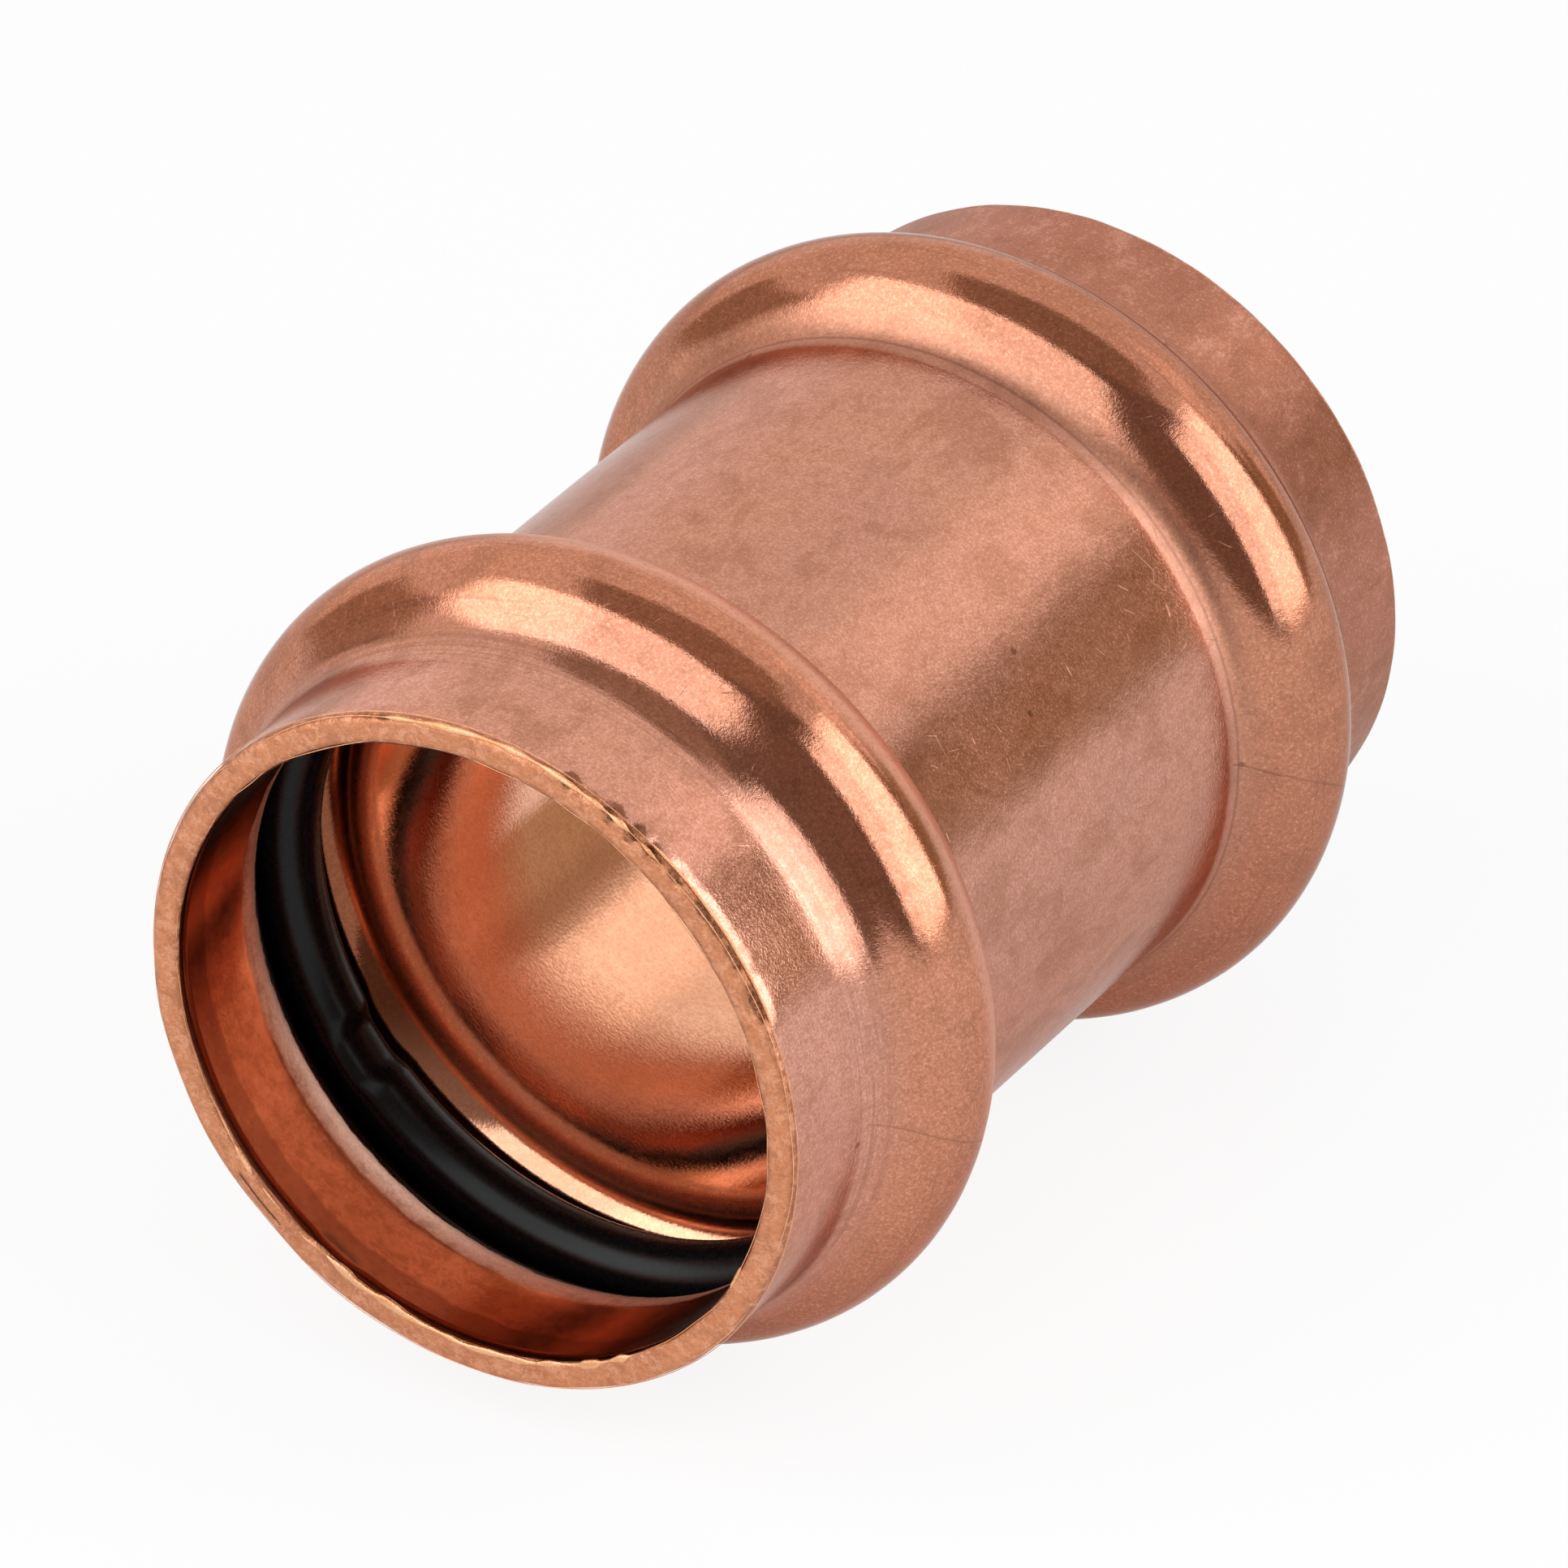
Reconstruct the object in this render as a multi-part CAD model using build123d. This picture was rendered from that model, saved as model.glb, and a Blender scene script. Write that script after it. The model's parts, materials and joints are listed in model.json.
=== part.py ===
from build123d import *
from build123d.topology.shape_core import SkipClean
from math import atan2, cos, degrees, radians, sin, sqrt
import os

# Straight press coupling for 1 in copper water tube: a formed copper body with a bead near each
# mouth, and a rubber seal ring held inside each bead. Millimetres. The coupling lies on its side:
# its axis is Y, with the front mouth at -Y, and the origin is its centre. Polar angles go from +X
# towards +Z.

# The tube that both mouths take
tube_diameter = 28.575          # outside diameter of nominal 1 in copper tube
mouth_clearance = 0.11          # radial, under each end collar
bore_clearance = 0.05           # radial, in the straight body between the beads

# The body, formed from one length of copper tube
length = 50.3
collar_length = 4.92            # straight part between the rim and the bead
collar_wall = 1.40
body_wall = 1.30
crown_wall = 1.22               # the wall thins where it is bulged out
collar_blend = 3.16             # outside concave radius from the collar up to the bead
body_blend = 1.39               # outside concave radius from the bead down to the body
rim_bevel = 0.45                # left by the cutting wheel on the outer edge of the rim
rim_break = 0.15                # on the inner edge of the rim

# The seal rings
ring_section = 3.0              # diameter of the ring's section
ring_tube_clearance = 0.06      # radial, between the unpressed ring and the tube
ring_seat = 0.03                # between the ring and the groove, where they come nearest
groove_side_room = 0.67         # beside the ring, each way, before the groove closes round it
ring_shift = 0.2                # the ring lies this far towards the middle of the coupling

# Leak paths: shallow scallops on the inside of each ring, which a press closes
leak_paths = 3
leak_path_width = 3.8
leak_path_depth = 0.5
leak_path_round = 0.35          # rounds the scallop's two shoulders
front_ring_turn = 218.0         # polar angle of one leak path
rear_ring_turn = 264.0

# Derived radii, from the axis outwards
tube_radius = tube_diameter / 2
mouth_radius = tube_radius + mouth_clearance
bore_radius = tube_radius + bore_clearance
ring_inner_radius = tube_radius + ring_tube_clearance
ring_centre_radius = ring_inner_radius + ring_section / 2
groove_arc = ring_section / 2 + groove_side_room
ring_lift = sqrt((groove_side_room - ring_seat) ** 2 - ring_shift ** 2)
groove_radius = ring_centre_radius - ring_lift + groove_arc


class Skin:
    """One surface of the formed wall, inside or outside: the radii that shape its beads.

    A bead's crown is an arc. A concave blend on each side meets the crown and the straight wall
    at a tangent.
    """

    def __init__(self, crown_radius, crown_arc, collar_radius, collar_arc, body_radius, body_arc):
        self.crown_arc = crown_arc
        self.crown_centre = crown_radius - crown_arc
        self.collar_radius = collar_radius
        self.collar_arc = collar_arc
        self.body_radius = body_radius
        self.body_arc = body_arc

    def blend_place(self, wall_radius, blend_arc):
        """Axial and radial distance from the crown's centre to the centre of a blend."""
        rise = wall_radius + blend_arc - self.crown_centre
        return sqrt((self.crown_arc + blend_arc) ** 2 - rise ** 2), rise

    def collar_run(self):
        """Axial length of a bead from its crown to the straight collar."""
        return self.blend_place(self.collar_radius, self.collar_arc)[0]

    def edges(self, bead_y, rim_y):
        """The skin's line from one rim to the other: a bead at bead_y, and its mirror image."""
        crown = (self.crown_centre, bead_y)
        out, rise = self.blend_place(self.collar_radius, self.collar_arc)
        collar_slope = degrees(atan2(out, rise))
        collar_blend_centre = (self.crown_centre + rise, bead_y - out)
        inward, drop = self.blend_place(self.body_radius, self.body_arc)
        body_slope = degrees(atan2(inward, drop))
        body_blend_centre = (self.crown_centre + drop, bead_y + inward)
        half = [
            Line((self.collar_radius, rim_y), (self.collar_radius, bead_y - out)),
            arc_line(collar_blend_centre, self.collar_arc, 180, 180 - collar_slope),
            arc_line(crown, self.crown_arc, -collar_slope, body_slope),
            arc_line(body_blend_centre, self.body_arc, 180 + body_slope, 180),
        ]
        body_start = bead_y + inward
        body_line = Line((self.body_radius, body_start), (self.body_radius, -body_start))
        return half + [body_line] + [edge.mirror(Plane.XZ) for edge in half]


def arc_line(centre, radius, start, end):
    """An arc about centre from one angle to another, in degrees."""
    angles = [radians(start), radians((start + end) / 2), radians(end)]
    return ThreePointArc(*[(centre[0] + radius * cos(a), centre[1] + radius * sin(a)) for a in angles])


def outside_skin():
    return Skin(
        crown_radius=groove_radius + crown_wall,
        crown_arc=groove_arc + crown_wall,
        collar_radius=mouth_radius + collar_wall,
        collar_arc=collar_blend,
        body_radius=bore_radius + body_wall,
        body_arc=body_blend,
    )


def inside_skin():
    return Skin(
        crown_radius=groove_radius,
        crown_arc=groove_arc,
        collar_radius=mouth_radius,
        collar_arc=collar_blend + collar_wall,
        body_radius=bore_radius,
        body_arc=body_blend + body_wall,
    )


rim_y = -length / 2
bead_y = rim_y + collar_length + outside_skin().collar_run()


def coupling_body():
    """The formed copper wall, turned about Y from its section between the two skins."""
    outer_radius = mouth_radius + collar_wall
    outer = outside_skin().edges(bead_y, rim_y + rim_bevel)
    inner = inside_skin().edges(bead_y, rim_y + rim_break)
    rim = [
        Line((outer_radius, rim_y + rim_bevel), (outer_radius - rim_bevel, rim_y)),
        Line((outer_radius - rim_bevel, rim_y), (mouth_radius + rim_break, rim_y)),
        Line((mouth_radius + rim_break, rim_y), (mouth_radius, rim_y + rim_break)),
    ]
    section = make_face(outer + inner + rim + [edge.mirror(Plane.XZ) for edge in rim])
    return revolve(section, Axis.Y)


def leak_scallop():
    """A round cutter along Y whose side bites into the ring's inner face at polar angle 0.

    Its chord is the width of the scallop, and it goes in by the depth.
    """
    half_width = leak_path_width / 2
    ring_sagitta = ring_inner_radius - sqrt(ring_inner_radius ** 2 - half_width ** 2)
    bite = leak_path_depth + ring_sagitta
    radius = (half_width ** 2 + bite ** 2) / (2 * bite)
    centre = ring_inner_radius + leak_path_depth - radius
    cutter = Cylinder(radius, 2 * ring_section, rotation=(90, 0, 0))
    return Pos(centre, 0, 0) * cutter


def ring_sector():
    """One leak path's share of a ring, with the scallop rounded at its shoulders, about angle 0."""
    share = 360 / leak_paths
    section = Pos(ring_centre_radius, 0) * Circle(ring_section / 2)
    sector = Rot(0, -share / 2, 0) * revolve(section, Axis.Y, share)
    sector -= leak_scallop()
    shoulders = sector.edges().filter_by(GeomType.BSPLINE)
    return fillet(shoulders, leak_path_round)


def seal_ring(centre_y, turn):
    """A rubber ring of round section, made of equal sectors, with one leak path at angle turn."""
    sector = ring_sector()
    turns = [turn + 360 * count / leak_paths for count in range(leak_paths)]
    sectors = [Rot(0, -angle, 0) * sector for angle in turns]
    with SkipClean():
        ring = sectors[0].fuse(*sectors[1:])
    return Pos(0, centre_y, 0) * ring


def main():
    ring_y = bead_y + ring_shift
    nodes = {
        "coupling_body": coupling_body(),
        "front_seal_ring": seal_ring(ring_y, front_ring_turn),
        "rear_seal_ring": seal_ring(-ring_y, rear_ring_turn),
    }
    os.makedirs("parts", exist_ok=True)
    for name, solid in nodes.items():
        export_step(solid, f"parts/{name}.step")
        print(name, round(solid.volume, 2))


main()
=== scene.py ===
import bpy
import json
import numpy as np
from math import atan2, cos, pi, radians, sin, sqrt
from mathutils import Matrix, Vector


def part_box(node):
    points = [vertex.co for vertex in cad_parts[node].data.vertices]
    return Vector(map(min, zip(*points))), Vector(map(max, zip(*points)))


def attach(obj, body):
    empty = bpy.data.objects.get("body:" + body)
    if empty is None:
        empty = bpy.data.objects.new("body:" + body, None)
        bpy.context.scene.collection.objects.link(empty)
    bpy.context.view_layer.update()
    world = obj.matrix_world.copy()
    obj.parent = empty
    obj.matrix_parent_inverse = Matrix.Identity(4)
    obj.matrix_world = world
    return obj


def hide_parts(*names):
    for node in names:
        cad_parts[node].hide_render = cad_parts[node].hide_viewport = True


# A straight press coupling for 1 in copper tube, lying on its two beads. Its axis is Y, with the
# front mouth at -Y. Shapes are worked out in millimetres, and angles round the axis go from +X
# towards +Z.
MM = 0.001

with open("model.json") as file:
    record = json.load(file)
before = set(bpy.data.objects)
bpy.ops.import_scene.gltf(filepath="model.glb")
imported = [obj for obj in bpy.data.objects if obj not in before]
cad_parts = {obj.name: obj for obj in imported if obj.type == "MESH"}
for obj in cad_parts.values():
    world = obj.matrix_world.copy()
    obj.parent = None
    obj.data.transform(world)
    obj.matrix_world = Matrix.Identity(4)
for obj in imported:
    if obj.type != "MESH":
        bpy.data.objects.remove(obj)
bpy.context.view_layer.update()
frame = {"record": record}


def node_span(name):
    """Lowest corner and highest corner of a CAD node, in millimetres."""
    low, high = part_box(name)
    return np.array(low) / MM, np.array(high) / MM


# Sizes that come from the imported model
body_low, body_high = node_span("coupling_body")
ring_low, ring_high = node_span("front_seal_ring")
mounts = {mount["name"]: mount for mount in frame["record"]["mounts"]}
rim_y = body_low[1]
bead_radius = (body_high[0] - body_low[0]) / 2
mouth_radius = mounts["front_socket"]["dims"]["r_mm"]
ring_section = ring_high[1] - ring_low[1]
ring_y = (ring_high[1] + ring_low[1]) / 2
ring_centre_radius = ring_high[0] - ring_section / 2

# The formed wall, as in the model
collar_length = 4.92
collar_wall = 1.40
body_wall = 1.30
crown_wall = 1.22
collar_blend = 3.16
body_blend = 1.39
bore_step = 0.06                # the body's bore is tighter than the mouths by this much
groove_side_room = 0.67         # beside the ring, before the groove closes round it
rim_break = 0.15
bore_radius = mouth_radius - bore_step
collar_radius = mouth_radius + collar_wall
groove_arc = ring_section / 2 + groove_side_room

# What forming and cutting leave on the real wall
rim_round = 0.35                # the outer edge of each rim, rolled over by the cutter
rim_reach = 1.0                 # how far from a rim its unevenness dies out
front_taper = 0.08              # the collars narrow by this much at their rims
rear_taper = 0.15
out_of_round = 0.018            # half the difference between the widest and the narrowest radius
squash_turn = 0.6               # radians: the wall is widest at minus half of this angle
lobes = 0.006                   # the same for a weaker wave of three lobes
die_mark = 0.005
rim_waver = 0.035               # across the rim
saw_waver = 0.018               # along the axis
gouge_place = 0.17              # from the front rim to the middle of the gouges
gouge_spread = 0.14             # from there to where they are a third as deep

# The seal rings
leak_path_depth = 0.48
leak_path_half = 2.5            # degrees from the path's middle to the end of its full depth
leak_path_shoulder = 5.0        # degrees over which that depth falls to nothing
front_ring_turn = 218
rear_ring_turn = 264


# ---------------------------------------------------------------- shapes worked out with numpy

def mesh_object(name, points, faces):
    """A smooth mesh object at the origin, from points in millimetres."""
    mesh = bpy.data.meshes.new(name)
    mesh.from_pydata((points * MM).tolist(), [], faces.tolist())
    mesh.update()
    mesh.polygons.foreach_set("use_smooth", np.full(len(mesh.polygons), True))
    piece = bpy.data.objects.new(name, mesh)
    bpy.context.scene.collection.objects.link(piece)
    return piece


def grid_faces(rows, columns):
    """Quads of a grid of points, rows by columns, which closes on itself both ways."""
    row, column = np.meshgrid(np.arange(rows), np.arange(columns), indexing="ij")
    next_row = (row + 1) % rows
    next_column = (column + 1) % columns
    corners = [
        row * columns + column,
        row * columns + next_column,
        next_row * columns + next_column,
        next_row * columns + column,
    ]
    return np.stack(corners, -1).reshape(-1, 4)


def turned(radius, along, angle):
    """Points turned round Y: x = radius cos a, y = along, z = radius sin a."""
    return np.stack([radius * np.cos(angle), along + 0 * angle, radius * np.sin(angle)], -1)


def ripple(angle, count, seed, lowest=1):
    """A sum of sines round the axis: count whole waves of falling height, from about -1 to 1."""
    random = np.random.default_rng(seed)
    total = np.zeros_like(angle)
    for wave in range(lowest, lowest + count):
        total += np.sin(wave * angle + random.uniform(0, 2 * pi)) * random.uniform(0.4, 1) / sqrt(wave)
    return total / (0.6 * sqrt(sum(1 / wave for wave in range(lowest, lowest + count))))


def window(angle, start, end, edge):
    """1 between two angles in degrees, falling smoothly to 0 over edge degrees at each side."""
    middle, half = radians(start + end) / 2, radians(end - start) / 2
    away = np.abs((angle - middle + pi) % (2 * pi) - pi)
    step = np.clip((half + radians(edge) - away) / radians(edge), 0, 1)
    return step * step * (3 - 2 * step)


class Skin:
    """One side of the wall: an arc for each bead's crown, blended at a tangent into the straights."""

    def __init__(self, crown_radius, crown_arc, collar_radius, collar_arc, body_radius, body_arc):
        self.arc = crown_arc
        self.centre = crown_radius - crown_arc
        self.collar_radius, self.collar_arc = collar_radius, collar_arc
        self.body_radius, self.body_arc = body_radius, body_arc

    def blend(self, wall_radius, arc):
        """Axial and radial distance from the crown's centre to the centre of a blend."""
        rise = wall_radius + arc - self.centre
        return sqrt((self.arc + arc) ** 2 - rise ** 2), rise

    def line(self, bead_y, rim):
        """Radius and place along the axis, from one rim to the other, as rows of a table."""
        out, rise = self.blend(self.collar_radius, self.collar_arc)
        inward, drop = self.blend(self.body_radius, self.body_arc)
        collar_slope, body_slope = atan2(out, rise), atan2(inward, drop)
        body_start = bead_y + inward
        half = np.vstack([
            straight((self.collar_radius, rim), (self.collar_radius, bead_y - out), 7),
            arc((self.centre + rise, bead_y - out), self.collar_arc, pi, pi - collar_slope, 8),
            arc((self.centre, bead_y), self.arc, -collar_slope, body_slope, 19),
            arc((self.centre + drop, bead_y + inward), self.body_arc, pi + body_slope, pi, 8),
        ])
        middle = straight((self.body_radius, body_start), (self.body_radius, -body_start), 9)[1:-1]
        return np.vstack([half, middle, half[::-1] * (1, -1)])


def straight(start, end, count):
    """Points on a straight line, with both its ends."""
    share = np.linspace(0, 1, count)[:, None]
    return np.array(start) * (1 - share) + np.array(end) * share


def arc(centre, radius, start, end, count):
    """Points on an arc without its first one, which ends the stretch before it."""
    angle = np.linspace(start, end, count)[1:]
    return np.stack([centre[0] + radius * np.cos(angle), centre[1] + radius * np.sin(angle)], -1)


outside = Skin(
    bead_radius, groove_arc + crown_wall,
    collar_radius, collar_blend,
    bore_radius + body_wall, body_blend,
)
inside = Skin(
    bead_radius - crown_wall, groove_arc,
    mouth_radius, collar_blend + collar_wall,
    bore_radius, body_blend + body_wall,
)
bead_y = rim_y + collar_length + outside.blend(outside.collar_radius, outside.collar_arc)[0]


def wall_section():
    """The closed section of the wall as a table of radius and place, and each row's zone.

    Zone 0 is the outside, 1 the rim, and 2 the inside. The section runs along the outside from
    the front rim to the rear one, round the rear rim, back along the inside, and round the front.
    """
    round_radius = outside.collar_radius - rim_round
    outer = outside.line(bead_y, rim_y + rim_round)
    inner = inside.line(bead_y, rim_y + rim_break)
    rounded = arc((round_radius, rim_y + rim_round), rim_round, 0, -pi / 2, 9)
    face = straight((round_radius, rim_y), (mouth_radius + rim_break, rim_y), 6)
    inner_break = straight((mouth_radius + rim_break, rim_y), (mouth_radius, rim_y + rim_break), 3)
    rim = np.vstack([rounded, face[1:], inner_break[1:-1]])
    front = rim[::-1]
    rear = rim * (1, -1)
    table = np.vstack([outer, rear, inner[::-1], front])
    zones = np.concatenate([
        np.full(len(outer) - 1, 0),
        np.full(len(rear) + 1, 1),
        np.full(len(inner) - 1, 2),
        np.full(len(front) + 1, 1),
    ])
    return table, zones


def squash(angle):
    """How far the out-of-round wall lies inside the true circle."""
    return out_of_round * (1 - np.cos(2 * angle + squash_turn))


def coupling_wall():
    """The coupling's copper body: its section turned round Y, then knocked about as a real one is.

    x = radius cos a, y = along, z = radius sin a, where s runs round the section and a round the axis.
    radius(s, a) = section radius, less a slow out-of-round wave, the shallow unevenness that the
    forming die leaves and the collars' taper, and less the gouges and the dent in the front rim.
    along(s, a) = section place, moved in by a waver in each sawn rim that dies out within rim_reach.
    The attribute "grime" is 1 in the gouges, where the metal stays dark.
    """
    table, zones = wall_section()
    columns = 480
    angle = np.linspace(0, 2 * pi, columns, endpoint=False)[None, :]
    radius = np.repeat(table[:, :1], columns, 1)
    along = np.repeat(table[:, 1:], columns, 1)
    from_front = along - rim_y
    from_rear = -rim_y - along
    near_front = np.clip(1 - from_front / rim_reach, 0, 1) ** 2
    near_rear = np.clip(1 - from_rear / rim_reach, 0, 1) ** 2
    outer_half = radius > mouth_radius + collar_wall / 2

    narrowed = squash(angle) + lobes * (1 - np.cos(3 * angle + 2.1))
    uneven = np.sin(0.9 * along + 2.0 * np.sin(5 * angle)) * np.sin(11 * angle + 0.8 * along)
    tapered = front_taper * np.clip(1 - from_front / collar_length, 0, 1)
    tapered = tapered + rear_taper * np.clip(1 - from_rear / collar_length, 0, 1)
    radius = radius - narrowed - np.where(outer_half, die_mark * (1 + uneven), 0.0)
    radius = radius - np.where(outer_half, tapered, 0.0)

    gouge_row = np.exp(-((from_front - gouge_place) / gouge_spread) ** 2) * outer_half
    rough = np.clip(0.65 + 0.5 * ripple(angle, 110, 8, 24), 0, 1.4)
    gouge = gouge_row * rough * (0.9 * window(angle, 25, 56, 4) + 1.25 * window(angle, 56, 71, 3))
    gouge = gouge + gouge_row * rough * 0.8 * window(angle, 104, 109, 3)
    dent = near_front * 0.16 * window(angle, 222, 229, 5)
    bulge = near_front * 0.16 * window(angle, 238, 243, 4)
    waver = near_front * rim_waver * (1 + ripple(angle, 40, 5))
    waver = waver + near_rear * rim_waver * (1 + ripple(angle, 40, 6))
    radius = radius - np.where(outer_half, 0.6 * waver + dent + 0.14 * gouge, 0.5 * waver + bulge)
    along = along + near_front * saw_waver * (2.4 + ripple(angle, 14, 3)) + 0.08 * gouge
    along = along - near_rear * saw_waver * (2.4 + ripple(angle, 14, 4))

    points = turned(radius, along, angle).reshape(-1, 3)
    piece = mesh_object("coupling_wall", points, grid_faces(len(table), columns))
    piece.data.polygons.foreach_set("material_index", np.repeat(zones, columns))
    grime = piece.data.attributes.new("grime", "FLOAT", "POINT")
    grime.data.foreach_set("value", np.clip(gouge, 0, 1).astype(np.float32).ravel())
    return piece


def lump(angle, middle, half, height):
    """One lump round the axis: its middle and half width in degrees, and its height."""
    return height * window(angle, middle - half, middle + half, half)


def rim_burr(name, end, middle_radius, middle_depth, swell):
    """A burr along a rim: an ellipse carried round Y, thick where it swells and sunk in the wall elsewhere.

    radius(t, a) = middle radius + swell cos t, and depth(t, a) = middle depth + 0.8 swell sin t, where
    depth is measured in from the rim. end is -1 for the front rim and 1 for the rear one.
    """
    rows, columns = 10, 1400
    around = np.linspace(0, 2 * pi, rows, endpoint=False)[:, None] * -end
    angle = np.linspace(0, 2 * pi, columns, endpoint=False)[None, :]
    size = np.maximum(swell(angle), 0.02)
    radius = middle_radius(angle) + size * np.cos(around)
    depth = np.maximum(middle_depth(angle) + 0.8 * size * np.sin(around), 0.004)
    points = turned(radius, end * (-rim_y - depth), angle).reshape(-1, 3)
    return mesh_object(name, points, grid_faces(rows, columns))


def inner_burr_depth(angle):
    """The depth behind its rim of the middle of a burr in a mouth."""
    return 0.10 + 0 * angle


def front_inner_burr():
    """Metal pushed into the mouth by the cutter: strongest from 243 to 300 degrees, with a few lumps."""
    def swell(angle):
        wavy = 0.13 + 0.05 * ripple(angle, 70, 21, 8)
        size = wavy * (window(angle, 243, 300, 4) + 0.40 * window(angle, 207, 238, 4))
        size = size + lump(angle, 218.5, 1.6, 0.10)
        size = size + lump(angle, 242.5, 1.8, 0.07)
        size = size + lump(angle, 255, 2.6, 0.08)
        size = size + lump(angle, 268, 2.0, 0.05)
        size = size + lump(angle, 293.8, 1.2, 0.07)
        return size + lump(angle, 333.5, 1.6, 0.09)

    def radius(angle):
        return mouth_radius + 0.04 + 0.045 * ripple(angle, 30, 22, 4) - 0.10 * window(angle, 238, 243, 4)

    return rim_burr("front_inner_burr", -1, radius, inner_burr_depth, swell)


def front_outer_burr():
    """The wavy bright edge that the cutter rolled over on top of the rim, from 71 to 101 degrees."""
    def swell(angle):
        wavy = (0.125 + 0.04 * ripple(angle, 60, 23, 6)) * window(angle, 71, 101, 5)
        broken = 0.07 * (1 + ripple(angle, 80, 24, 10)) * window(angle, 57, 68, 5)
        return wavy + broken

    def radius(angle):
        return collar_radius - 0.19 + 0.05 * ripple(angle, 16, 25, 3) - 2 / 3 * squash(angle)

    def depth(angle):
        return 0.14 + 0.02 * ripple(angle, 20, 26, 4)

    return rim_burr("front_outer_burr", -1, radius, depth, swell)


def front_edge_burr():
    """A thin raised line just behind the front rim, from 25 to 54 degrees."""
    def swell(angle):
        return (0.075 + 0.02 * ripple(angle, 50, 27, 6)) * window(angle, 25, 54, 3)

    def radius(angle):
        return collar_radius - 0.035 - 2 / 3 * squash(angle)

    def depth(angle):
        return 0.36 + 0.03 * ripple(angle, 12, 28, 3)

    return rim_burr("front_edge_burr", -1, radius, depth, swell)


def rear_inner_burr():
    """The same cutter's burr in the rear mouth."""
    def swell(angle):
        wavy = 0.05 + 0.02 * ripple(angle, 70, 31, 8)
        return wavy * (window(angle, 20, 75, 6) + 0.5 * window(angle, 150, 190, 5))

    def radius(angle):
        return mouth_radius + 0.05 + 0.03 * ripple(angle, 30, 32, 4)

    return rim_burr("rear_inner_burr", 1, radius, inner_burr_depth, swell)


def seal_ring(name, centre_y, turn):
    """A round-section ring: a circle of the section's radius carried round Y at the ring's radius.

    radius(t, a) = ring radius + section radius cos t, and along(t, a) = centre_y + section radius sin t.
    At each of the three leak paths the inner side is pressed outwards, by a smooth bump over its width.
    """
    rows, columns = 48, 900
    around = np.linspace(0, 2 * pi, rows, endpoint=False)[:, None]
    angle = np.linspace(0, 2 * pi, columns, endpoint=False)[None, :]
    radius = ring_centre_radius + ring_section / 2 * np.cos(around) + 0 * angle
    along = centre_y + ring_section / 2 * np.sin(around) + 0 * angle
    inner_side = np.clip(-np.cos(around), 0, 1) ** 1.2
    for path in (turn, turn + 120, turn + 240):
        pressed = window(angle, path - leak_path_half, path + leak_path_half, leak_path_shoulder)
        radius = radius + leak_path_depth * pressed * inner_side
    return mesh_object(name, turned(radius, along, angle).reshape(-1, 3), grid_faces(rows, columns))


# ---------------------------------------------------------------- shader helpers

class Nodes:
    """Builds a node tree in few words."""

    def __init__(self, tree):
        self.tree = tree
        self.tree.nodes.clear()

    def add(self, kind, inputs=None, **settings):
        node = self.tree.nodes.new(kind)
        for name, value in settings.items():
            setattr(node, name, value)
        for key, value in (inputs or {}).items():
            self.put(node.inputs[key], value)
        return node

    def put(self, socket, value):
        if isinstance(value, bpy.types.NodeSocket):
            self.tree.links.new(value, socket)
        else:
            socket.default_value = value

    def math(self, operation, first, second=0.0, third=0.0):
        inputs = {0: first, 1: second, 2: third}
        return self.add("ShaderNodeMath", inputs, operation=operation).outputs[0]

    def product(self, first, *others):
        for other in others:
            first = self.math("MULTIPLY", first, other)
        return first

    def add_share(self, value, share, amount):
        """value, raised by the amount where the share is 1."""
        return self.math("MULTIPLY_ADD", share, amount, value)

    def vector(self, operation, first, second=(0, 0, 0)):
        return self.add("ShaderNodeVectorMath", {0: first, 1: second}, operation=operation).outputs[0]

    def vector_value(self, operation, first, second=(0, 0, 0)):
        """A measure of vectors: a length or a dot product."""
        node = self.add("ShaderNodeVectorMath", {0: first, 1: second}, operation=operation)
        return node.outputs["Value"]

    def parts(self, place):
        """The X, Y and Z of a place."""
        return self.add("ShaderNodeSeparateXYZ", {0: place}).outputs

    def step(self, value, low, high, start=0.0, end=1.0):
        """start below low, end above high, and a smooth change between."""
        inputs = {"Value": value, "From Min": low, "From Max": high, "To Min": start, "To Max": end}
        return self.add("ShaderNodeMapRange", inputs, interpolation_type="SMOOTHSTEP").outputs[0]

    def band(self, value, rise_start, rise_end, fall_start, fall_end):
        """1 between two places, with a smooth change at each."""
        begun = self.step(value, rise_start, rise_end)
        return self.product(begun, self.step(value, fall_start, fall_end, 1.0, 0.0))

    def mix(self, share, first, second):
        """A colour between two others, each of which may be a colour's red, green and blue."""
        node = self.add("ShaderNodeMix", data_type="RGBA")
        self.put(node.inputs[0], share)
        self.put(node.inputs[6], (*first, 1) if isinstance(first, tuple) else first)
        self.put(node.inputs[7], (*second, 1) if isinstance(second, tuple) else second)
        return node.outputs[2]

    def noise(self, place, scale, detail=4.0, roughness=0.55, distortion=0.0):
        inputs = {"Vector": place, "Scale": scale, "Detail": detail, "Roughness": roughness}
        inputs["Distortion"] = distortion
        return self.add("ShaderNodeTexNoise", inputs).outputs["Fac"]

    def stretch(self, place, scale):
        return self.add("ShaderNodeMapping", {"Vector": place, "Scale": scale}).outputs[0]


def shader_group(name, inputs, outputs):
    """An empty node group with named sockets, its builder, and its input and output nodes."""
    tree = bpy.data.node_groups.new(name, "ShaderNodeTree")
    for socket, kind in inputs:
        tree.interface.new_socket(socket, in_out="INPUT", socket_type="NodeSocket" + kind)
    for socket, kind in outputs:
        tree.interface.new_socket(socket, in_out="OUTPUT", socket_type="NodeSocket" + kind)
    build = Nodes(tree)
    return tree, build, build.add("NodeGroupInput"), build.add("NodeGroupOutput")


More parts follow.
